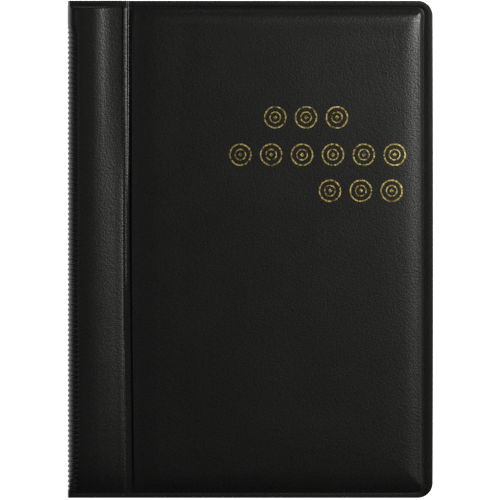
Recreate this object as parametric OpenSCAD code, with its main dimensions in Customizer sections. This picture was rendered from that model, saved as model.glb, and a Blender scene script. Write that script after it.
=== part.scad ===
// Coin album of black welded leatherette: a ribbed rigid spine block that holds ten clear
// pocket leaves, and two padded covers hinged on a groove beside it.
// It lies on its back cover: +Z is up out of the front cover, +Y runs up the cover,
// and the spine is at -X.

/* [Album] */
// Length along the spine
album_l = 200; // [160:1:260]
// Width from the spine to the free edge
album_w = 147; // [125:1:180]
// Thickness over both covers
album_t = 18; // [18:0.5:30]
// Radius of the free corners
corner_r = 6; // [3:0.5:9]

/* [Spine block] */
// Width of the rigid strip beside the spine
strip_w = 22.0; // [18:0.5:26]
// Radius of the rounded spine edges
spine_r = 5; // [4:0.25:6]
// Pitch of the ribs on the spine
rib_pitch = 2.03; // [1.6:0.01:4]
// Depth of the grooves between the ribs
rib_depth = 0.45; // [0.1:0.05:0.45]
// Width of the hinge groove between strip and cover
groove_w = 3.2; // [2.5:0.1:5]

/* [Covers] */
// Thickness of the leatherette
skin_t = 0.7; // [0.5:0.1:0.9]
// Thickness of the foam under the leatherette
foam_t = 1.2; // [0.8:0.1:1.4]
// Thickness of the cover board
board_t = 1.2; // [1:0.1:1.4]
// Thickness of the lining inside a cover
lining_t = 0.3; // [0.2:0.05:0.4]
// Width of the flat welded rim
rim_w = 2.3; // [1.5:0.1:3.5]

/* [Leaves] */
// Number of leaves, half of them turning with each cover
leaf_n = 10; // [10:1:10]
// Distance of the leaves from the edges of the covers
leaf_inset = 3; // [2:0.5:6]
// Thickness of a leaf's backing sheet
backing_t = 0.25; // [0.2:0.05:0.3]
// Height of the pocket between backing and film
pocket_t = 0.35; // [0.25:0.05:0.35]
// Thickness of the clear pocket film
film_t = 0.2; // [0.15:0.05:0.25]
// Width of the bare margin beside the spine block
margin_w = 8; // [6:0.5:12]
// Pocket columns on a leaf
columns = 3; // [2:1:4]
// Pocket rows on a leaf
rows = 4; // [3:1:6]
// Width of a welded seam
seam_w = 2; // [1.5:0.25:3]
// Height of the white label in each pocket
label_h = 9; // [6:0.5:12]

/* [Foil ornament] */
// Outer diameter of a ring
ring_d = 9; // [6:0.5:10]
// Width of the foil line
foil_w = 0.6; // [0.4:0.1:1]

/* [Hidden] */
BLACK = "#1c1c1e";
DARK = "#2a2a2c";
BLACK_BOARD = "#343433";
FOAM = "#d9d6cc";
CLEAR = "#dfe8ee";
WHITE = "#f4f4f0";
GOLD = "#c8a040";
hull_fn = 32;
round_fn = 48;
eps = 0.01;

spine_x = -album_w / 2;
free_x = album_w / 2;
strip_x = spine_x + strip_w;              // where the rigid strip ends
panel_x = strip_x + groove_w;             // where the hinged cover begins
cover_t = lining_t + board_t + foam_t + skin_t;
rim_t = skin_t + lining_t;                // a welded rim is only leatherette and lining

// The block holds the leaves' bound ends with a spacer strip between each two.
block_z0 = skin_t + foam_t + board_t;     // top of the boards under the back strip
block_z1 = album_t - block_z0;
spine_board_t = 1.5;
strip_end = 7;                            // distance of the strip's board from its welded ends
strip_side = 2.6;                         // and from the edge of the hinge groove
rib_end = 4;                              // the ribs stop this far from head and tail
glue_t = 0.2;                             // behind the bound ends of the leaves
stub_x0 = spine_x + skin_t + spine_board_t + glue_t;
block_x1 = strip_x - skin_t;              // inner face of the strip's end wall
stub_x1 = strip_x + 0.6;                  // stubs stand a little proud of the block
leaf_gap = 0.3;                           // space between the covers and the stack of leaves
leaf_t = backing_t + pocket_t + film_t;
stack_h = album_t - 2 * cover_t - 2 * leaf_gap;
leaf_pitch = (stack_h - leaf_t) / (leaf_n - 1);
leaf_x0 = stub_x1 + 0.3;
leaf_x1 = free_x - leaf_inset;
leaf_l = album_l - 2 * leaf_inset;
pockets_x0 = stub_x1 + margin_w;
pocket_w = (leaf_x1 - pockets_x0 - seam_w * (columns + 1)) / columns;
pocket_h = (leaf_l - seam_w * (rows + 1)) / rows;
mouth_h = 1.6;                            // slit across the head of each pocket
label_t = 0.15;
label_side = 0.6;                         // space between a label and the sides of its pocket
leaf_corner_r = 3;
foil_t = 0.06;
ring_pitch = 12.4;
// Rows of rings: their number, and the row's middle from the free edge and from the head.
foil_rows = [[3, 51, 47], [6, 46.4, 62], [3, 29, 76.5]];

// Shoulders of the padded covers: inset from the outline and height above the rim.
shoulder = [[rim_w, 0], [rim_w + 0.7, 0.52], [rim_w + 2, 0.86], [rim_w + 4.5, 1]];
foam_inset = rim_w + 5.2;                 // foam and board end under the shoulder
min_corner_r = 1.2;

// Bottom of leaf k, counted from the front cover down.
function leaf_z(k) = cover_t + leaf_gap + (leaf_n - k) * leaf_pitch;

// A plate from x0 to x1 with its two free corners rounded, in plan.
module plate_outline(x0, x1, half_l, r) {
    translate([x0, -half_l]) square([x1 - x0 - r, 2 * half_l]);
    translate([x1 - r - eps, -half_l + r]) square([r + eps, 2 * (half_l - r)]);
    for (s = [-1, 1]) translate([x1 - r, s * (half_l - r)]) circle(r = r, $fn = round_fn);
}

module plate(x0, x1, half_l, r, z, t) {
    translate([0, 0, z]) linear_extrude(t) plate_outline(x0, x1, half_l, r);
}

// The same outline moved inward on all four sides.
module inset_plate(inset, z, t) {
    plate(panel_x + inset, free_x - inset, album_l / 2 - inset,
          max(corner_r - inset, min_corner_r), z, t);
}

// Turns a thing of the front cover over into its twin of the back cover.
module to_back() {
    translate([0, 0, album_t]) mirror([0, 0, 1]) children();
}

// ---- Covers: drawn for the front, turned over for the back ----

module cover_form() {
    rise = cover_t - rim_t;
    hull() for (s = shoulder)
        translate([0, 0, album_t - cover_t + lining_t]) linear_extrude(skin_t + rise * s[1])
            plate_outline(panel_x + s[0], free_x - s[0], album_l / 2 - s[0],
                          max(corner_r - s[0], min_corner_r), $fn = hull_fn);
}

module cover_skin() {
    difference() {
        union() {
            inset_plate(0, album_t - cover_t + lining_t, skin_t);
            cover_form();
        }
        inset_plate(foam_inset, album_t - cover_t + lining_t - eps, board_t + foam_t + eps);
    }
}

module cover_foam() {
    inset_plate(foam_inset, album_t - skin_t - foam_t, foam_t);
}

module cover_board() {
    inset_plate(foam_inset, album_t - cover_t + lining_t, board_t);
}

module cover_lining() {
    inset_plate(0, album_t - cover_t, lining_t);
}

// ---- Spine block ----

// Section of the wrap seen along the spine: rounded at the spine, open towards the leaves.
module wrap_section() {
    difference() {
        union() {
            translate([spine_r, 0]) square([strip_w - spine_r, album_t]);
            translate([0, spine_r]) square([spine_r + eps, album_t - 2 * spine_r]);
            for (z = [spine_r, album_t - spine_r]) translate([spine_r, z])
                circle(r = spine_r, $fn = round_fn);
        }
        translate([spine_r, skin_t]) square([strip_w - spine_r - skin_t, album_t - 2 * skin_t]);
        translate([skin_t, spine_r]) square([spine_r, album_t - 2 * spine_r]);
        for (z = [spine_r, album_t - spine_r]) translate([spine_r, z])
            circle(r = spine_r - skin_t, $fn = round_fn);
        translate([strip_w - skin_t - eps, block_z0])
            square([skin_t + 2 * eps, album_t - 2 * block_z0]);
    }
}

module spine_skin() color(BLACK) difference() {
    translate([spine_x, album_l / 2, 0]) rotate([90, 0, 0])
        linear_extrude(album_l) wrap_section();
    rib_count = floor((album_l - 2 * rib_end) / rib_pitch);
    for (i = [0 : rib_count - 1])
        translate([spine_x - 1, (i - (rib_count - 1) / 2) * rib_pitch - rib_pitch / 4, spine_r / 2])
            cube([1 + rib_depth, rib_pitch / 2, album_t - spine_r]);
}

module spine_board() color(BLACK_BOARD)
    translate([spine_x + skin_t, -album_l / 2 + 1, spine_r])
        cube([spine_board_t, album_l - 2, album_t - 2 * spine_r]);

// A sheet lying in the front strip, clear of its welded ends and its rounded edges.
module strip_sheet(z, t) {
    translate([spine_x + spine_r, -album_l / 2 + strip_end, z])
        cube([strip_w - spine_r - strip_side, album_l - 2 * strip_end, t]);
}

module front_strip_board() color(BLACK_BOARD) strip_sheet(block_z1, board_t);
module back_strip_board() to_back() front_strip_board();
module front_strip_foam() color(FOAM) strip_sheet(block_z1 + board_t, foam_t);
module back_strip_foam() to_back() front_strip_foam();

module leaf_stubs() color(CLEAR)
    for (k = [1 : leaf_n])
        translate([stub_x0, -leaf_l / 2, leaf_z(k)])
            cube([stub_x1 - stub_x0, leaf_l, backing_t]);

module spacer_strips() color(BLACK_BOARD)
    for (k = [0 : leaf_n]) {
        z0 = k == leaf_n ? block_z0 : leaf_z(k + 1) + backing_t;
        z1 = k == 0 ? block_z1 : leaf_z(k);
        translate([stub_x0, -leaf_l / 2, z0]) cube([block_x1 - stub_x0, leaf_l, z1 - z0]);
    }

module front_hinge_skin() color(BLACK)
    translate([strip_x, -album_l / 2, album_t - cover_t + lining_t])
        cube([groove_w, album_l, skin_t]);

module back_hinge_skin() to_back() front_hinge_skin();

// ---- Front cover ----

module front_skin() color(BLACK) cover_skin();
module front_foam() color(FOAM) cover_foam();
module front_board() color(BLACK_BOARD) cover_board();
module front_lining() color(DARK) cover_lining();

module ring(d, z, t) {
    translate([0, 0, z]) difference() {
        cylinder(h = t, d = d, $fn = round_fn);
        translate([0, 0, -1]) cylinder(h = t + 2, d = d - 2 * foil_w, $fn = round_fn);
    }
}

// Three rows of plain coin rings in gold foil.
module foil_ornament() color(GOLD)
    for (row = foil_rows) for (i = [0 : row[0] - 1])
        translate([free_x - row[1] + (i - (row[0] - 1) / 2) * ring_pitch,
                   album_l / 2 - row[2], 0]) {
            ring(ring_d, album_t, foil_t);
            ring(ring_d / 2, album_t, foil_t);
        }

// ---- Back cover ----

module back_skin() color(BLACK) to_back() cover_skin();
module back_foam() color(FOAM) to_back() cover_foam();
module back_board() color(BLACK_BOARD) to_back() cover_board();
module back_lining() color(DARK) to_back() cover_lining();

// ---- Leaves ----

module at_pockets() {
    for (c = [0 : columns - 1]) for (r = [0 : rows - 1])
        translate([pockets_x0 + seam_w + c * (pocket_w + seam_w),
                   -leaf_l / 2 + seam_w + r * (pocket_h + seam_w), 0]) children();
}

module leaf_backing(k) color(CLEAR)
    plate(leaf_x0, leaf_x1, leaf_l / 2, leaf_corner_r, leaf_z(k), backing_t);

// The clear film, welded down along the seams and open at the head of each pocket.
module leaf_pockets(k) color(CLEAR, 0.4) difference() {
    plate(pockets_x0, leaf_x1, leaf_l / 2, leaf_corner_r, leaf_z(k) + backing_t,
          pocket_t + film_t);
    translate([0, 0, leaf_z(k) + backing_t]) at_pockets() {
        translate([0, 0, -1]) cube([pocket_w, pocket_h, pocket_t + 1]);
        translate([0, pocket_h - mouth_h, -1]) cube([pocket_w, mouth_h, leaf_t + 2]);
    }
}

module leaf_labels(k) color(WHITE)
    translate([0, 0, leaf_z(k) + backing_t]) at_pockets()
        translate([label_side, pocket_h - mouth_h - label_h, 0])
            cube([pocket_w - 2 * label_side, label_h, label_t]);

spine_skin();
spine_board();
front_strip_board();
back_strip_board();
front_strip_foam();
back_strip_foam();
spacer_strips();
leaf_stubs();
front_hinge_skin();
back_hinge_skin();
front_skin();
front_foam();
front_board();
front_lining();
foil_ornament();
back_skin();
back_foam();
back_board();
back_lining();
leaf_backing(1);  // leaf_01_backing
leaf_pockets(1);  // leaf_01_pockets
leaf_labels(1);  // leaf_01_labels
leaf_backing(2);  // leaf_02_backing
leaf_pockets(2);  // leaf_02_pockets
leaf_labels(2);  // leaf_02_labels
leaf_backing(3);  // leaf_03_backing
leaf_pockets(3);  // leaf_03_pockets
leaf_labels(3);  // leaf_03_labels
leaf_backing(4);  // leaf_04_backing
leaf_pockets(4);  // leaf_04_pockets
leaf_labels(4);  // leaf_04_labels
leaf_backing(5);  // leaf_05_backing
leaf_pockets(5);  // leaf_05_pockets
leaf_labels(5);  // leaf_05_labels
leaf_backing(6);  // leaf_06_backing
leaf_pockets(6);  // leaf_06_pockets
leaf_labels(6);  // leaf_06_labels
leaf_backing(7);  // leaf_07_backing
leaf_pockets(7);  // leaf_07_pockets
leaf_labels(7);  // leaf_07_labels
leaf_backing(8);  // leaf_08_backing
leaf_pockets(8);  // leaf_08_pockets
leaf_labels(8);  // leaf_08_labels
leaf_backing(9);  // leaf_09_backing
leaf_pockets(9);  // leaf_09_pockets
leaf_labels(9);  // leaf_09_labels
leaf_backing(10);  // leaf_10_backing
leaf_pockets(10);  // leaf_10_pockets
leaf_labels(10);  // leaf_10_labels
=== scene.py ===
"""Coin album: black padded leatherette covers on a ribbed spine block, with a gold foil ornament and
ten clear leaves of coin pockets. Heights and places are in millimetres, x from the spine's face and
y from the middle of the album, and become metres in the frame's own axes in mesh_object()."""
import math

import bpy
import numpy as np
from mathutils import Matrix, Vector


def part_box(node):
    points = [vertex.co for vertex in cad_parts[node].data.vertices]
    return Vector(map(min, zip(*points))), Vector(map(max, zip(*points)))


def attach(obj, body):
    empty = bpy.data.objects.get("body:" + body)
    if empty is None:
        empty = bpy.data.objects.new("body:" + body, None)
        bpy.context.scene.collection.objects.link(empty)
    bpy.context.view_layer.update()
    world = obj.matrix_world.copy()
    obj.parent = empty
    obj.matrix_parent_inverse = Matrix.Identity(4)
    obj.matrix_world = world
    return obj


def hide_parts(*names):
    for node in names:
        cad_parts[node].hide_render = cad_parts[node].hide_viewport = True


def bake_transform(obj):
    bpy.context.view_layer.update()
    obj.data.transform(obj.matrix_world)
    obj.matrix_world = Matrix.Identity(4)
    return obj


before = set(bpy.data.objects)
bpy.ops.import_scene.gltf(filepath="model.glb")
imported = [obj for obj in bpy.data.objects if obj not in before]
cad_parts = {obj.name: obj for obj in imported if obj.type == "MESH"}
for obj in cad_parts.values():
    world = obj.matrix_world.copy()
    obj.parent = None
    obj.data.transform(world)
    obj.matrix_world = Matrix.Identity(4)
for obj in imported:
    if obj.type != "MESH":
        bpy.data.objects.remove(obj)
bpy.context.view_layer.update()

MM = 0.001

# ---- Sizes, read from the frame ----


def box_mm(node):
    """The lowest and highest corner of a CAD node, in millimetres."""
    low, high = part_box(node)
    return np.array(low) / MM, np.array(high) / MM


spine_lo, spine_hi = box_mm("spine_skin")
panel_lo, panel_hi = box_mm("front_skin")

SPINE_X = spine_lo[0]                     # the spine's face, where x is 0 below
ALBUM_T = spine_hi[2]                     # thickness over both covers
HALF_L = spine_hi[1]                      # half the length along the spine
ALBUM_W = panel_hi[0] - SPINE_X
PANEL_X = panel_lo[0] - SPINE_X           # where the hinged cover begins
HINGE_X = box_mm("leaf_stubs")[1][0] - SPINE_X    # where everything that turns begins to bend
LINING_Z = box_mm("front_lining")[0][2]   # the inner face of the front lining
WELD_Z = panel_lo[2]                      # the leatherette is welded to the lining here
SKIN_T = 0.7
CORNER_R = 6.0
RIM = {"right": 3.7, "head": 2.7, "tail": 2.0}   # distance of the weld groove from each edge
STRIP_END = 3.0                           # the strip's head shoulder is this much narrower
STRIP_RIM = 0.28                          # its groove nearer the edge by this share
STRIP_STEP = 1.0                          # and its weld this much higher
RIM_Z = WELD_Z + 0.15                     # leatherette pressed thin in the weld
EDGE_BOW = 0.2                            # the free edge swells this much at its middle
RIB_PITCH = 2.03
RIB_DEPTH = 0.5
RIB_PROUD = 0.15                          # share of it by which the ribs stand out of the spine
RIB_POWER = 0.8                           # below 1 the ribs are narrower than the gaps between them
# The ribs run out between these distances from the spine's face, the tail and the head.
RIB_FADE = {"face": (2.4, 4.8), "tail": (2.6, 4), "head": (8, 14)}
FOAM_GAP = 0.05                           # the foam stays this far under the leatherette
LINING_WELD = (2.4, 0.12, 0.5)            # the lining's weld line: distance in, depth and width
LINING_WAVE = 0.03
LEAF_NUMBERS = range(1, 11)


def smooth(a, b, t):
    """0 at a, 1 at b, and a smooth step between them."""
    t = np.clip((np.asarray(t, float) - a) / (b - a), 0, 1)
    return t * t * (3 - 2 * t)


def through(knots, x):
    """A smooth curve through the knots (x, value), flat past its ends."""
    kx, kv = np.array(knots, float).T
    slope = np.gradient(kv, kx)
    rise = np.diff(kv) / np.diff(kx)
    for i in range(1, len(kx) - 1):       # no overshoot at a ridge or a groove
        if rise[i - 1] * rise[i] <= 0:
            slope[i] = 0
        else:
            slope[i] = 2 / (1 / rise[i - 1] + 1 / rise[i])
    slope[0] = slope[-1] = 0
    x = np.clip(x, kx[0], kx[-1])
    i = np.clip(np.searchsorted(kx, x, side="right") - 1, 0, len(kx) - 2)
    h = kx[i + 1] - kx[i]
    t = (x - kx[i]) / h
    return (
        kv[i] * (1 + 2 * t) * (1 - t) ** 2
        + slope[i] * h * t * (1 - t) ** 2
        + kv[i + 1] * t * t * (3 - 2 * t)
        + slope[i + 1] * h * t * t * (t - 1)
    )


def waves(x, y, length, seed):
    """Slow, even unevenness between about -1 and 1, from a few sines of seeded directions."""
    draw = np.random.default_rng(seed)
    total = 0
    for _ in range(5):
        turn, phase = draw.uniform(0, math.tau, 2)
        size = length * draw.uniform(0.7, 1.5)
        total = total + np.sin((x * math.cos(turn) + y * math.sin(turn)) * math.tau / size + phase)
    return total / 3


# ---- The outer surface of the front, which the back repeats upside down ----

SPINE_ROUND = 8.5       # the spine rounds over within this distance of its face
SPINE_POWER = 3.6       # its roundness: 2 would be an ellipse
# Knots (x, height) across the strip, the ridge, the hinge groove and on to the padded panel, estimated
# from how the light falls there. Near the head the strip falls away beside the spine and keeps a ridge
# at the groove; lower down it slopes evenly.
PANEL_RISE = [
    (25.4, 16.15), (26.0, 16.75), (26.6, 16.95), (28.3, 17.02), (32, 17.37), (36, 17.66),
    (44, 17.9), (54, 18.0),
]
ACROSS_HEAD = [
    (8.5, 18.0), (10.6, 17.97), (13.0, 17.67), (15.4, 17.14), (17.8, 16.775), (21.8, 16.505),
    (22.75, 16.92), (22.95, 16.92), (23.2, 16.87), (23.95, 16.66), (24.3, 15.9), (24.8, 15.6),
    *PANEL_RISE,
]
ACROSS_UPPER = [
    (8.5, 18.0), (10.6, 17.91), (13.0, 17.635), (15.4, 17.225), (19.1, 16.50), (22.0, 15.985),
    (22.35, 15.85), (23.0, 16.0), (23.5, 15.98), (23.7, 15.67), (24.8, 15.62), *PANEL_RISE,
]
ACROSS_MIDDLE = [
    (8.5, 18.0), (10.6, 17.89), (13.0, 17.62), (16.6, 17.025), (19.1, 16.535), (22.2, 15.92),
    (22.35, 15.84), (24.9, 15.9), *PANEL_RISE,
]
ACROSS_TAIL = [
    (8.5, 18.0), (11.8, 17.9), (15.4, 17.58), (19.1, 17.09), (22.3, 16.65), (22.65, 15.95),
    (24.9, 15.9), *PANEL_RISE,
]
# Where each of the four is reached.
HEAD_Y, UPPER_Y, MIDDLE_Y, TAIL_Y = 85, 12, -25, -80
RIM_HIGH = 0.19                           # the rim over the groove, against the padding's height
RIM_ROUND = 0.08                          # its outer edge is round over this share of its width
RIM_POWER = 4                             # how late it falls towards the groove
RIM_DROP = 1.25                           # its very edge lies this many rim heights below it
RIM_SHARE = {"right": 1.0, "head": 0.8, "tail": 0.15}    # how far the rim stands above the groove
SIDE_NEAR, SIDE_POWER = 0.8, 3            # how sharply one side's rim gives way to the next one's
STRIP_EDGE = (23.7, 24.7)                 # the strip's rim gives way to the cover's between these
GROOVE_DRIFT = 0.8                        # the hinge groove lies this much further out at the tail
DRIFT_FROM, DRIFT_TO = (14, 20), (40, 60)    # the drift sets in and ends again here across
DOME_X, DOME_REACH = 88, 60               # the middle of the panel's dome, and its reach across
DOME_ACROSS, DOME_ALONG = 0.42, 0.2       # its fall over that reach, and from its middle to its ends
DOME_FROM, DOME_IN = (30, 50), (4, 16)    # where it sets in: across, and inwards from an edge
PANEL_WAVE = 0.035
# The padded shoulder inside the groove: it climbs evenly to a corner this many millimetres in, at
# this share of the full height, and the rest in a curve of this reach and power.
SHOULDER = {"right": (1.7, 0.59, 5.3, 1.4), "head": (0.0, 0.0, 2.6, 1.4), "tail": (0.0, 0.0, 5.1, 1.0)}


def edge_distance(x, y):
    """Distance inwards from the head, tail and free edge, round the two free corners."""
    a, b = ALBUM_W - x, HALF_L - np.abs(y)
    corner = (a < CORNER_R) & (b < CORNER_R)
    round_off = CORNER_R - np.hypot(CORNER_R - a, CORNER_R - b)
    return np.where(corner, round_off, np.minimum(a, b))


def strip_head(x, y):
    """1 on the strip at its head, 0 on the cover and at the tail."""
    return (1 - smooth(*STRIP_EDGE, x)) * smooth(0, HALF_L, y)


def rim_rise(t):
    """Height of the rim over the groove, from the edge at 0 to the groove at 1."""
    round_edge = np.clip(1 - t / RIM_ROUND, 0, 1) ** 2
    return RIM_HIGH * (1 - np.clip(t, 0, 1) ** RIM_POWER) - RIM_DROP * RIM_HIGH * round_edge


def shoulder_rise(side, d):
    """0 in the groove and 1 far inside it."""
    corner, share, reach, power = SHOULDER[side]
    crown = 1 - (1 - share) * np.exp(-((np.maximum(d - corner, 0) / reach) ** power))
    return np.where(d < corner, share * d / max(corner, 1e-6), crown)


def edge_rise(x, y):
    """0 in the weld groove beside the edges and 1 on the full height inside."""
    d = edge_distance(x, y)
    gaps = {"right": ALBUM_W - x, "head": HALF_L - y, "tail": HALF_L + y}
    near = {side: 1 / (np.maximum(gap, 0) + SIDE_NEAR) ** SIDE_POWER for side, gap in gaps.items()}
    total = sum(near.values())
    near = {side: weight / total for side, weight in near.items()}
    groove = sum(RIM[side] * near[side] for side in near) * (1 - STRIP_RIM * strip_head(x, y))
    rim = sum(RIM_SHARE[side] * near[side] for side in near) * rim_rise(d / groove)
    inside = np.maximum(d - groove, 0) * (1 + STRIP_END * strip_head(x, y))
    shoulder = sum(shoulder_rise(side, inside) * near[side] for side in near)
    return np.where(d < groove, rim, shoulder)


def across(x, y):
    """Height of the front across the album, away from its head and tail."""
    round_x = np.clip(1 - x / SPINE_ROUND, 0, 1)
    spine = ALBUM_T / 2 * (1 + (1 - round_x**SPINE_POWER) ** (1 / SPINE_POWER))
    head, upper = smooth(UPPER_Y, HEAD_Y, y), smooth(MIDDLE_Y, UPPER_Y, y)
    tail = smooth(MIDDLE_Y, TAIL_Y, y)
    flat = through(ACROSS_HEAD, x) * head + through(ACROSS_UPPER, x) * (upper - head)
    flat = flat + through(ACROSS_MIDDLE, x) * (1 - upper - tail) + through(ACROSS_TAIL, x) * tail
    return np.where(x < SPINE_ROUND, spine, flat)


def front_height(x, y):
    """Height of the outer surface of the front above the table."""
    drift = GROOVE_DRIFT * smooth(0, HALF_L, -y) * smooth(*DRIFT_FROM, x) * (1 - smooth(*DRIFT_TO, x))
    middle = across(x - drift, y)
    pad = smooth(*DOME_FROM, x) * smooth(*DOME_IN, edge_distance(x, y))
    dome = DOME_ACROSS * ((x - DOME_X) / DOME_REACH) ** 2 + DOME_ALONG * (y / HALF_L) ** 2
    middle = middle - pad * (dome + PANEL_WAVE * (1 + waves(x, y, 46, 3)))
    base = RIM_Z + STRIP_STEP * strip_head(x, y)
    return np.where(middle < base, middle, base + (middle - base) * edge_rise(x, y))


# ---- Mesh making ----


def lines(*stretches):
    """Grid lines: each stretch is (from, to, step), and they follow each other."""
    made = []
    for start, end, step in stretches:
        count = max(1, round(abs(end - start) / step))
        made.extend(np.linspace(start, end, count + 1)[(1 if made else 0):])
    return np.array(made)


def edged_lines(low, high, margin, fine, coarse):
    """Grid lines from low to high, fine within a margin of both ends and coarse between."""
    return lines((low, low + margin, fine), (low + margin, high - margin, coarse),
                 (high - margin, high, fine))


def creased(values, at, pair=0.02):
    """The grid lines with a close pair round one line, so that a crease there stays sharp."""
    away = values[np.abs(values - at) > 2 * pair]
    return np.sort(np.append(away, [at - pair, at, at + pair]))


def rounded_plan(x, y, free_x, half_l, r):
    """Moves the square corners of a plan at its free edge onto round ones."""
    s, t = (x - free_x + r) / r, (np.abs(y) - half_l + r) / r
    inside = (s > 0) & (t > 0)
    s_in, t_in = np.where(inside, s, 0), np.where(inside, t, 0)
    new_x = free_x - r + r * s_in * np.sqrt(1 - t_in**2 / 2)
    new_y = np.sign(y) * (half_l - r + r * t_in * np.sqrt(1 - s_in**2 / 2))
    return np.where(inside, new_x, x), np.where(inside, new_y, y)


def mesh_object(name, points, faces, material):
    """A smooth mesh object from points in album millimetres."""
    points = np.asarray(points, float).reshape(-1, 3) + (SPINE_X, 0, 0)
    mesh = bpy.data.meshes.new(name)
    mesh.from_pydata((points * MM).tolist(), [], faces)
    mesh.validate()
    mesh.materials.append(material)
    mesh.shade_smooth()
    obj = bpy.data.objects.new(name, mesh)
    bpy.context.scene.collection.objects.link(obj)
    return obj


def shell(name, outer, inner, material, keep=None, second=None):
    """A closed solid between two matching grids of points; keep leaves cells out as openings,
    and second is (cells, material) for cells that another material covers."""
    rows, cols = outer.shape[:2]
    keep = np.ones((rows - 1, cols - 1), bool) if keep is None else keep
    number = np.arange(rows * cols).reshape(rows, cols)
    under = rows * cols
    a, b = number[:-1, :-1], number[:-1, 1:]
    c, d = number[1:, 1:], number[1:, :-1]
    faces = np.stack([a, b, c, d], -1)[keep].tolist()
    faces += (np.stack([d, c, b, a], -1)[keep] + under).tolist()
    padded = np.pad(keep, 1)
    for p, q, neighbour in (
        (a, b, padded[:-2, 1:-1]), (b, c, padded[1:-1, 2:]),
        (c, d, padded[2:, 1:-1]), (d, a, padded[1:-1, :-2]),
    ):
        edge = keep & ~neighbour
        faces += np.stack([q, p, p + under, q + under], -1)[edge].tolist()
    points = np.concatenate([outer.reshape(-1, 3), inner.reshape(-1, 3)])
    used = np.unique(np.array(faces))
    renumber = np.full(len(points), -1)
    renumber[used] = np.arange(len(used))
    obj = mesh_object(name, points[used], renumber[np.array(faces)].tolist(), material)
    if second is not None:
        cells, other = second
        obj.data.materials.append(other)
        index = np.zeros(len(obj.data.polygons), np.int32)
        flat = cells[keep].astype(np.int32)
        index[: 2 * len(flat)] = np.concatenate([flat, flat])
        obj.data.polygons.foreach_set("material_index", index)
    return obj


def plan_grid(xs, ys, free_x=ALBUM_W, half_l=HALF_L, r=CORNER_R):
    """The grid's points in plan, its free corners rounded."""
    x, y = np.meshgrid(xs, ys)
    return rounded_plan(x, y, free_x, half_l, r)


def stack3(x, y, z):
    """A grid of points from its coordinates."""
    return np.stack([x, y, np.broadcast_to(z, x.shape)], -1)


def upright(points):
    """The grid as it is, on the front of the album."""
    return points


def turned_over(points):
    """The same grid on the back of the album."""
    return points * (1, 1, -1) + (0, 0, ALBUM_T)


# ---- Materials ----


def new_material(name):
    """A material with its nodes, its links and its shader."""
    material = bpy.data.materials.new(name)
    material.use_nodes = True
    nodes, links = material.node_tree.nodes, material.node_tree.links
    return material, nodes, links, nodes["Principled BSDF"]


def noise(nodes, links, where, scale, detail=2.0, roughness=0.5):
    """Noise of this many waves to the metre."""
    n = nodes.new("ShaderNodeTexNoise")
    n.inputs["Scale"].default_value = scale
    n.inputs["Detail"].default_value = detail
    n.inputs["Roughness"].default_value = roughness
    links.new(where, n.inputs["Vector"])
    return n.outputs["Fac"]


def mapped(nodes, links, value, low, high, start=0.0, end=1.0):
    """value from start..end moved to low..high."""
    m = nodes.new("ShaderNodeMapRange")
    m.inputs["From Min"].default_value = start
    m.inputs["From Max"].default_value = end
    m.inputs["To Min"].default_value = low
    m.inputs["To Max"].default_value = high
    links.new(value, m.inputs["Value"])
    return m.outputs["Result"]


def blended_colour(nodes, links, factor, dark, light):
    """dark where factor is 0 and light where it is 1."""
    m = nodes.new("ShaderNodeMix")
    m.data_type = "RGBA"
    m.inputs[6].default_value = (*dark, 1)      # A and B of a colour mix
    m.inputs[7].default_value = (*light, 1)
    links.new(factor, m.inputs[0])
    return m.outputs[2]


def bumped(nodes, links, height, distance, strength, before=None):
    """A normal with this relief on it, on top of an earlier one."""
    b = nodes.new("ShaderNodeBump")
    b.inputs["Distance"].default_value = distance
    b.inputs["Strength"].default_value = strength
    links.new(height, b.inputs["Height"])
    if before is not None:
        links.new(before, b.inputs["Normal"])
    return b.outputs["Normal"]


def object_space(nodes):
    """Where a point is on its piece, in metres."""
    return nodes.new("ShaderNodeTexCoord").outputs["Object"]


def leatherette():
    """Black PVC leatherette: a fine pebble of about 0.7 mm with soft creases between the grains."""
    material, nodes, links, shader = new_material("leatherette")
    place = object_space(nodes)
    warp = nodes.new("ShaderNodeTexNoise")      # bends the cells, so that no row of them shows
    warp.inputs["Scale"].default_value = 600
    links.new(place, warp.inputs["Vector"])
    offset = nodes.new("ShaderNodeVectorMath")
    offset.operation = "MULTIPLY_ADD"
    offset.inputs[1].default_value = (0.0005, 0.0005, 0.0005)
    links.new(warp.outputs["Color"], offset.inputs[0])
    links.new(place, offset.inputs[2])
    pebble = nodes.new("ShaderNodeTexVoronoi")
    pebble.feature = "SMOOTH_F1"
    pebble.inputs["Scale"].default_value = 1350
    pebble.inputs["Smoothness"].default_value = 0.35
    links.new(offset.outputs[0], pebble.inputs["Vector"])
    grain = mapped(nodes, links, pebble.outputs["Distance"], 1, 0)
    creases = nodes.new("ShaderNodeMapping")
    creases.inputs["Scale"].default_value = (0.3, 1.0, 1.0)
    links.new(place, creases.inputs["Vector"])
    fine = noise(nodes, links, creases.outputs["Vector"], 2600, 3, 0.6)
    slow = noise(nodes, links, place, 55, 3, 0.55)
    normal = bumped(nodes, links, grain, 0.0001, 0.45)
    normal = bumped(nodes, links, fine, 0.00008, 0.38, normal)
    links.new(normal, shader.inputs["Normal"])
    links.new(
        blended_colour(nodes, links, grain, (0.003, 0.003, 0.0031), (0.0064, 0.0064, 0.0066)),
        shader.inputs["Base Color"],
    )
    links.new(mapped(nodes, links, slow, 0.31, 0.38), shader.inputs["Roughness"])
    shader.inputs["Specular IOR Level"].default_value = 0.3
    return material


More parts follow.
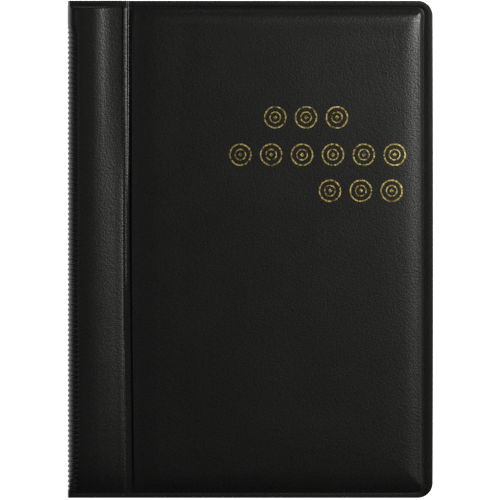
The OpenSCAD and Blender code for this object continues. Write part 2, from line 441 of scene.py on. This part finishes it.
def gold_foil():
    """Hot-stamped foil: metal whose gold is painted darker and lighter in patches, painted shade and
    highlight in place of the shaded and lit sides of its pressed strokes.
    """
    material, nodes, links, shader = new_material("gold_foil")
    place = object_space(nodes)
    patches = noise(nodes, links, place, 900, 3, 0.6)
    painted_light_and_shade = mapped(nodes, links, patches, 0, 1, 0.38, 0.62)
    shader.inputs["Metallic"].default_value = 1.0
    # Painted shade and highlight: the gold's colour runs from dark to light across the patches.
    links.new(
        blended_colour(nodes, links, painted_light_and_shade, (0.05, 0.032, 0.004), (0.44, 0.355, 0.125)),
        shader.inputs["Base Color"],
    )
    links.new(mapped(nodes, links, patches, 0.34, 0.6), shader.inputs["Roughness"])
    links.new(bumped(nodes, links, patches, 0.00008, 0.6), shader.inputs["Normal"])
    return material


def board():
    """Black-dyed bookbinding board, with its fibres in flat layers."""
    material, nodes, links, shader = new_material("board")
    place = object_space(nodes)
    layers = nodes.new("ShaderNodeMapping")
    layers.inputs["Scale"].default_value = (1, 1, 9)
    links.new(place, layers.inputs["Vector"])
    fibre = noise(nodes, links, layers.outputs["Vector"], 900, 4, 0.65)
    links.new(
        blended_colour(nodes, links, fibre, (0.018, 0.018, 0.018), (0.05, 0.049, 0.047)),
        shader.inputs["Base Color"],
    )
    shader.inputs["Roughness"].default_value = 0.9
    links.new(bumped(nodes, links, fibre, 0.0001, 0.6), shader.inputs["Normal"])
    return material


def foam():
    """Open-celled foam sheet."""
    material, nodes, links, shader = new_material("foam")
    place = object_space(nodes)
    cells = nodes.new("ShaderNodeTexVoronoi")
    cells.inputs["Scale"].default_value = 1800
    links.new(place, cells.inputs["Vector"])
    links.new(
        blended_colour(nodes, links, cells.outputs["Distance"], (0.42, 0.40, 0.34), (0.8, 0.78, 0.7)),
        shader.inputs["Base Color"],
    )
    shader.inputs["Roughness"].default_value = 0.95
    links.new(bumped(nodes, links, cells.outputs["Distance"], 0.0002, 0.7), shader.inputs["Normal"])
    return material


def lining():
    """Smooth black PVC lining with a faint haircell."""
    material, nodes, links, shader = new_material("lining")
    place = object_space(nodes)
    cell = noise(nodes, links, place, 1500, 2, 0.5)
    slow = noise(nodes, links, place, 40, 2, 0.5)
    links.new(
        blended_colour(nodes, links, slow, (0.009, 0.009, 0.010), (0.016, 0.016, 0.017)),
        shader.inputs["Base Color"],
    )
    links.new(mapped(nodes, links, slow, 0.34, 0.46), shader.inputs["Roughness"])
    links.new(bumped(nodes, links, cell, 0.00004, 0.6), shader.inputs["Normal"])
    return material


def clear_film(name, haze, tint):
    """Clear soft PVC: it lets what is behind through, and catches the light on slow ripples."""
    material, nodes, links, shader = new_material(name)
    place = object_space(nodes)
    ripple = noise(nodes, links, place, 90, 2, 0.5)
    fine = noise(nodes, links, place, 1400, 2, 0.5)
    normal = bumped(nodes, links, ripple, 0.0005, 0.5)
    normal = bumped(nodes, links, fine, 0.00003, 0.4, normal)
    links.new(normal, shader.inputs["Normal"])
    shader.inputs["Base Color"].default_value = (*tint, 1)
    links.new(mapped(nodes, links, fine, 0.08, 0.2), shader.inputs["Roughness"])
    clear = nodes.new("ShaderNodeBsdfTransparent")
    clear.inputs["Color"].default_value = (0.975, 0.985, 0.99, 1)
    facing = nodes.new("ShaderNodeLayerWeight")
    grazing = nodes.new("ShaderNodeMath")
    grazing.operation = "POWER"
    grazing.inputs[1].default_value = 4
    links.new(facing.outputs["Facing"], grazing.inputs[0])
    mix = nodes.new("ShaderNodeMixShader")
    links.new(mapped(nodes, links, grazing.outputs[0], haze, 0.5), mix.inputs["Fac"])
    links.new(clear.outputs["BSDF"], mix.inputs[1])
    links.new(shader.outputs["BSDF"], mix.inputs[2])
    links.new(mix.outputs["Shader"], nodes["Material Output"].inputs["Surface"])
    return material


def label_paper():
    """White label strip with a faint fibre."""
    material, nodes, links, shader = new_material("label_paper")
    place = object_space(nodes)
    fibre = noise(nodes, links, place, 1100, 4, 0.6)
    links.new(
        blended_colour(nodes, links, fibre, (0.55, 0.545, 0.52), (0.66, 0.655, 0.635)),
        shader.inputs["Base Color"],
    )
    shader.inputs["Roughness"].default_value = 0.75
    links.new(bumped(nodes, links, fibre, 0.00004, 0.5), shader.inputs["Normal"])
    return material


def floor_paper():
    """Pale backdrop paper, lit so evenly that it shows no shadow."""
    material, nodes, links, shader = new_material("floor")
    place = object_space(nodes)
    slow = noise(nodes, links, place, 3, 2, 0.5)
    links.new(
        blended_colour(nodes, links, slow, (0.38, 0.38, 0.38), (0.4, 0.4, 0.4)),
        shader.inputs["Base Color"],
    )
    shader.inputs["Roughness"].default_value = 0.9
    shader.inputs["Emission Color"].default_value = (1, 1, 1, 1)
    shader.inputs["Emission Strength"].default_value = 1.02
    return material


LEATHERETTE, GOLD, BOARD, FOAM, LINING = leatherette(), gold_foil(), board(), foam(), lining()
SHEET_FILM = clear_film("sheet_film", 0.012, (0.42, 0.47, 0.52))
POCKET_FILM = clear_film("pocket_film", 0.012, (0.5, 0.55, 0.6))
WELD_FILM = clear_film("weld_film", 0.14, (0.5, 0.55, 0.6))
PAPER = label_paper()

# ---- Covers ----


def cover_grid():
    """The cover's grid, finest in the hinge groove and over the rim, fine over the shoulder."""
    finest, fine, coarse = 0.12, 0.6, 2
    groove, ridge, rise = 26.8, 32, 46    # where the hinge groove, its ridge and the rise end
    rim, shoulder = 6.6, 16               # how far in from an edge the rim and the shoulder end
    xs = lines((HINGE_X, groove, finest), (groove, ridge, 0.4), (ridge, rise, 1),
               (rise, ALBUM_W - shoulder, coarse), (ALBUM_W - shoulder, ALBUM_W - rim, fine),
               (ALBUM_W - rim, ALBUM_W, finest))
    ys = lines((-HALF_L, -HALF_L + rim, finest), (-HALF_L + rim, -HALF_L + shoulder, fine),
               (-HALF_L + shoulder, HALF_L - shoulder, coarse), (HALF_L - shoulder, HALF_L - rim, fine),
               (HALF_L - rim, HALF_L, finest))
    xs = creased(xs, ALBUM_W - RIM["right"])
    ys = creased(creased(ys, RIM["tail"] - HALF_L), HALF_L - RIM["head"])
    return plan_grid(xs, ys)


def cover(side, flip):
    """One padded cover's leatherette, from the hinge groove to the free edge."""
    x, y = cover_grid()
    top = front_height(x, y)
    under = np.maximum(WELD_Z, top - SKIN_T)
    x = x + EDGE_BOW * (1 - (y / HALF_L) ** 2) * smooth(PANEL_X, ALBUM_W, x)
    skin = shell(f"{side}_padded_skin", flip(stack3(x, y, top)), flip(stack3(x, y, under)), LEATHERETTE)
    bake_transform(skin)
    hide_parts(f"{side}_skin", f"{side}_hinge_skin")


def cover_foam(side, flip):
    """The foam sheet, crowned as the leatherette above it."""
    low, high = box_mm(f"{side}_foam")
    left, right, half = low[0] - SPINE_X, high[0] - SPINE_X, high[1]
    base = box_mm("front_foam")[0][2]
    x, y = plan_grid(edged_lines(left, right, 6, 1, 3), edged_lines(-half, half, 6, 1, 3),
                     right, half, CORNER_R / 3)
    top = np.maximum(base + 0.03, front_height(x, y) - SKIN_T - FOAM_GAP)
    pad = shell(f"{side}_foam_sheet", flip(stack3(x, y, top)), flip(stack3(x, y, base)), FOAM)
    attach(pad, f"{side}_cover")
    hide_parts(f"{side}_foam")


def cover_lining(side, flip):
    """The lining inside a cover, with the weld line pressed round it."""
    fine = 0.5
    xs = lines((PANEL_X, PANEL_X + 6, fine), (PANEL_X + 6, ALBUM_W - 8, 3), (ALBUM_W - 8, ALBUM_W, fine))
    x, y = plan_grid(xs, edged_lines(-HALF_L, HALF_L, 8, fine, 3))
    d = np.minimum(edge_distance(x, y), x - PANEL_X)
    inwards, depth, width = LINING_WELD
    weld = depth * np.exp(-(((d - inwards) / width) ** 2))
    low = LINING_Z + weld + LINING_WAVE * (1 + waves(x, y, 30, 8)) * smooth(3, 9, d)
    sheet = shell(f"{side}_lining_sheet", flip(stack3(x, y, WELD_Z)), flip(stack3(x, y, low)), LINING)
    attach(sheet, f"{side}_cover")
    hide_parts(f"{side}_lining")


def strip_foam(side, flip):
    """The foam in a spine strip, crowned under the leatherette."""
    low, high = box_mm(f"{side}_strip_foam")
    left, right, half = low[0] - SPINE_X, high[0] - SPINE_X, high[1]
    base = box_mm("front_strip_foam")[0][2]
    x, y = np.meshgrid(lines((left, right, 0.7)), edged_lines(-half, half, 6, 0.7, 3))
    top = np.maximum(base + 0.05, front_height(x, y) - SKIN_T - FOAM_GAP)
    pad = shell(f"{side}_strip_pad", flip(stack3(x, y, top)), flip(stack3(x, y, base)), FOAM)
    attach(pad, "spine_block")
    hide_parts(f"{side}_strip_foam")


for side, flip in (("front", upright), ("back", turned_over)):
    cover(side, flip)
    cover_foam(side, flip)
    cover_lining(side, flip)
    strip_foam(side, flip)

# ---- Spine ----


def rib_dents(x, y):
    """How far the leatherette dips between the ribs, which run out on the strips and near both ends."""
    wave = 0.5 - 0.5 * np.cos(y * math.tau / RIB_PITCH)
    ribbed = (1 - smooth(*RIB_FADE["face"], x)) * smooth(*RIB_FADE["tail"], HALF_L + y)
    ribbed *= smooth(*RIB_FADE["head"], HALF_L - y)
    return RIB_DEPTH * (wave**RIB_POWER - RIB_PROUD) * ribbed


def spine():
    """The leatherette round the spine block: both strips, the rounded edges and the ribs."""
    ys = lines((-HALF_L, HALF_L, RIB_PITCH / 9))
    flat = lines((HINGE_X, 21.3, 0.1), (21.3, 18, 0.4), (18, SPINE_ROUND, 0.7))
    turn = np.linspace(math.pi / 2, 0, 26)[1:]
    curve_x = SPINE_ROUND * (1 - np.cos(turn) ** (2 / SPINE_POWER))
    xs = np.concatenate([flat, curve_x])
    x, y = np.meshgrid(xs, ys)
    z = front_height(x, y)
    half = np.stack([x, y, z], -1)
    other = turned_over(half[:, -2::-1])
    outer = np.concatenate([half, other], 1)
    along = np.gradient(outer, axis=1)
    inward = np.stack([-along[..., 2], np.zeros(outer.shape[:2]), along[..., 0]], -1)
    inward /= np.linalg.norm(inward, axis=-1, keepdims=True)
    dented = outer + inward * rib_dents(outer[..., 0], outer[..., 1])[..., None]
    inner = outer + inward * SKIN_T
    wrap = shell("spine_wrap", dented, inner, LEATHERETTE)
    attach(wrap, "spine_block")
    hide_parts("spine_skin")


spine()

# ---- Foil ornament ----

RING_R = 4.5
RING_PITCH = 12.4
RING_BANDS = ((RING_R, RING_R - 0.57, 72), (2.35, 1.86, 48), (0.85, 0.25, 4))   # out, in, sides
ROW_MIDDLES = ((51, 3), (46.4, 6), (29, 3))    # from the free edge, and how many rings
MIDDLE_ROW = 62                           # distance of the middle row from the head
FOIL_LIFT, FOIL_ROOT = 0.035, -0.05       # top and bottom of the foil against the leatherette


def foil_ornament():
    """Three rows of coin rings pressed on the cover: two rings and a lozenge each."""
    low, high = box_mm("foil_ornament")
    points, faces = [], []

    def band(cx, cy, r_out, r_in, sides):
        start = len(points)
        angles = np.arange(sides) * math.tau / sides
        for radius, lift in ((r_out, FOIL_ROOT), (r_out, FOIL_LIFT), (r_in, FOIL_LIFT), (r_in, FOIL_ROOT)):
            px, py = cx + radius * np.cos(angles), cy + radius * np.sin(angles)
            points.extend(np.stack([px, py, front_height(px, py) + lift], -1))
        for ring in range(4):
            a, b = start + ring * sides, start + (ring + 1) % 4 * sides
            for i in range(sides):
                j = (i + 1) % sides
                faces.append((a + i, a + j, b + j, b + i))

    row_heights = (high[1] - RING_R, HALF_L - MIDDLE_ROW, low[1] + RING_R)
    for (from_edge, count), row_y in zip(ROW_MIDDLES, row_heights):
        for i in range(count):
            cx = ALBUM_W - from_edge + (i - (count - 1) / 2) * RING_PITCH
            for r_out, r_in, sides in RING_BANDS:
                band(cx, row_y, r_out, r_in, sides)
    foil = mesh_object("foil_rings", points, faces, GOLD)
    foil.data.shade_flat()
    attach(foil, "front_cover")
    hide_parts("foil_ornament")


foil_ornament()

# ---- Leaves ----

COLUMNS, ROWS = 3, 4
SEAM_W = 2.0                              # welded seam between two pockets
MOUTH_H = 1.6                             # slit across the head of each pocket
LEAF_R = 3.0                              # radius of a leaf's free corners
LEAF_BEND = 8.0                           # the margin beside the block that bends as a leaf turns
FILM_T = 0.14
PUFF_W = 1.4                              # the film rises from its seam within this distance
FILM_GAP = 0.004                          # between the film and the backing, so they don't coincide
LEAF_WAVE = 0.05


def pocket_cells(k):
    """A leaf's pocket sheet in the frame, the low corners of its pockets, and their size."""
    low, high = box_mm(f"leaf_{k:02d}_pockets")
    x0, x1, half = low[0] - SPINE_X, high[0] - SPINE_X, high[1]
    w = (x1 - x0 - SEAM_W * (COLUMNS + 1)) / COLUMNS
    h = (2 * half - SEAM_W * (ROWS + 1)) / ROWS
    xs = [x0 + SEAM_W + c * (w + SEAM_W) for c in range(COLUMNS)]
    ys = [-half + SEAM_W + r * (h + SEAM_W) for r in range(ROWS)]
    return x0, x1, half, xs, ys, w, h


def leaf_ripple(k, x, y):
    """The slow waviness that a leaf's backing and film share."""
    return LEAF_WAVE * waves(x, y, 60, 20 + k) * smooth(HINGE_X, HINGE_X + LEAF_BEND, x)


def leaf_sheet(k):
    """A leaf's clear backing, whose margin bends beside the spine block."""
    name = f"leaf_{k:02d}"
    low, high = box_mm(f"{name}_backing")
    x1, half = pocket_cells(k)[1:3]
    xs = lines((HINGE_X - 0.6, HINGE_X + 9, 0.6), (HINGE_X + 9, x1 - 6, 4), (x1 - 6, x1, 1))
    ys = edged_lines(-half, half, 6, 1, 4)
    x, y = plan_grid(xs, ys, x1, half, LEAF_R)
    ripple = leaf_ripple(k, x, y)
    sheet = shell(f"{name}_sheet", stack3(x, y, high[2] + ripple), stack3(x, y, low[2] + ripple),
                  SHEET_FILM)
    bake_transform(sheet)
    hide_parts(f"{name}_backing")


def leaf_film(k):
    """The film over the backing: a puffed pocket in each cell, open in a slit at its head."""
    name = f"leaf_{k:02d}"
    base = box_mm(f"{name}_backing")[1][2]
    puff = box_mm(f"{name}_pockets")[1][2] - base - FILM_T
    x0, x1, half, cell_x, cell_y, w, h = pocket_cells(k)
    side = [0, 0.35, 0.8, 1.5, 3.0]       # grid lines beside a seam
    head = [3.2, 2.3, MOUTH_H, MOUTH_H / 2, 0]    # and below the head of a pocket
    xs, ys = [x0], [-half]
    for cx in cell_x:
        xs += [cx + s for s in side] + list(np.linspace(cx + 6, cx + w - 6, 6))
        xs += [cx + w - s for s in reversed(side)]
    for cy in cell_y:
        ys += [cy + s for s in side] + list(np.linspace(cy + 6, cy + h - 6, 7))
        ys += [cy + h - s for s in head]
    xs, ys = np.array(xs + [x1]), np.array(ys + [half])
    x, y = plan_grid(xs, ys, x1, half, LEAF_R)
    mid_x, mid_y = (xs[:-1] + xs[1:]) / 2, (ys[:-1] + ys[1:]) / 2
    lift = np.zeros_like(x)
    mouth = np.zeros((len(mid_y), len(mid_x)), bool)
    seam = np.ones_like(mouth)
    for cx in cell_x:
        for cy in cell_y:
            from_sides, from_tail = np.minimum(x - cx, cx + w - x), y - cy
            lift = np.maximum(lift, smooth(0, PUFF_W, from_sides) * smooth(0, PUFF_W, from_tail)
                              * (1 - smooth(h - MOUTH_H / 2, h, from_tail)))
            in_x = ((mid_x > cx) & (mid_x < cx + w))[None, :]
            mouth |= ((mid_y > cy + h - MOUTH_H) & (mid_y < cy + h))[:, None] & in_x
            seam &= ~(((mid_y > cy) & (mid_y < cy + h))[:, None] & in_x)
    under = base + leaf_ripple(k, x, y) + puff * lift + FILM_GAP
    film = shell(f"{name}_film", stack3(x, y, under + FILM_T), stack3(x, y, under), POCKET_FILM,
                 ~mouth, (seam, WELD_FILM))
    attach(film, name)
    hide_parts(f"{name}_pockets")


for k in LEAF_NUMBERS:
    leaf_sheet(k)
    leaf_film(k)

# ---- CAD nodes that stay as they are ----


def dress(node, material):
    """A carried-over CAD node takes this material."""
    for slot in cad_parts[node].material_slots:
        slot.material = material


for node in ("spine_board", "front_strip_board", "back_strip_board", "spacer_strips",
             "front_board", "back_board"):
    dress(node, BOARD)
dress("leaf_stubs", SHEET_FILM)
for k in LEAF_NUMBERS:
    dress(f"leaf_{k:02d}_labels", PAPER)

# ---- Camera, floor and light, in metres ----

CAMERA_Z = 2.2
CAMERA_SHIFT = (-0.00003, -0.0003)        # the album is this little off the photo's middle
SEEN_WIDTH = 0.20085                      # what the picture's width spans on the front cover
FLOOR_SIDE = 6


def aim(obj, at):
    """Turns a lamp to point at a place."""
    direction = Vector(at) - Vector(obj.location)
    obj.rotation_euler = direction.to_track_quat("-Z", "Y").to_euler()


def add_camera():
    """Square on above the front cover, from far enough that only the front shows."""
    data = bpy.data.cameras.new("camera")
    camera = bpy.data.objects.new("camera", data)
    bpy.context.scene.collection.objects.link(camera)
    data.sensor_width = 36
    data.lens = data.sensor_width * (CAMERA_Z - ALBUM_T * MM) / SEEN_WIDTH
    data.clip_end = 20
    camera.location = (*CAMERA_SHIFT, CAMERA_Z)
    bpy.context.scene.camera = camera


def add_area(name, place, at, size, power, colour=(1, 1, 1)):
    """A square or oblong lamp."""
    data = bpy.data.lights.new(name, "AREA")
    data.shape = "RECTANGLE"
    data.size, data.size_y = size
    data.energy = power
    data.color = colour
    lamp = bpy.data.objects.new(name, data)
    bpy.context.scene.collection.objects.link(lamp)
    lamp.location = place
    aim(lamp, at)


def add_floor():
    """The floor just under the album, kept out of the exported object."""
    mesh = bpy.data.meshes.new("floor")
    corners = [(x * FLOOR_SIDE, y * FLOOR_SIDE, 0) for x, y in ((-1, -1), (1, -1), (1, 1), (-1, 1))]
    mesh.from_pydata(corners, [], [(0, 1, 2, 3)])
    mesh.materials.append(floor_paper())
    floor = bpy.data.objects.new("floor", mesh)
    bpy.context.scene.collection.objects.link(floor)
    floor.location.z = -0.0002


def add_light():
    """A large soft lamp near the upper right corner, a faint one opposite it, and a dark room that
    is paler at the horizon."""
    world = bpy.data.worlds.new("world")
    bpy.context.scene.world = world
    world.use_nodes = True
    nodes, links = world.node_tree.nodes, world.node_tree.links
    height = nodes.new("ShaderNodeSeparateXYZ")
    links.new(nodes.new("ShaderNodeTexCoord").outputs["Generated"], height.inputs[0])
    fade = mapped(nodes, links, height.outputs["Z"], 0.14, 0.02, 0.05, 0.45)
    links.new(fade, nodes["Background"].inputs["Strength"])
    nodes["Background"].inputs["Color"].default_value = (1, 1, 1, 1)
    add_area("key", (0.40, 0.235, 0.47), (0.02, 0.02, 0.018), (0.3, 0.3), 7.9, (1.0, 1.0, 0.95))
    add_area("fill", (-0.36, 0.05, 0.45), (-0.05, 0, 0.018), (0.25, 0.25), 0.15)


add_camera()
add_floor()
add_light()
bpy.context.scene.view_settings.view_transform = "Standard"
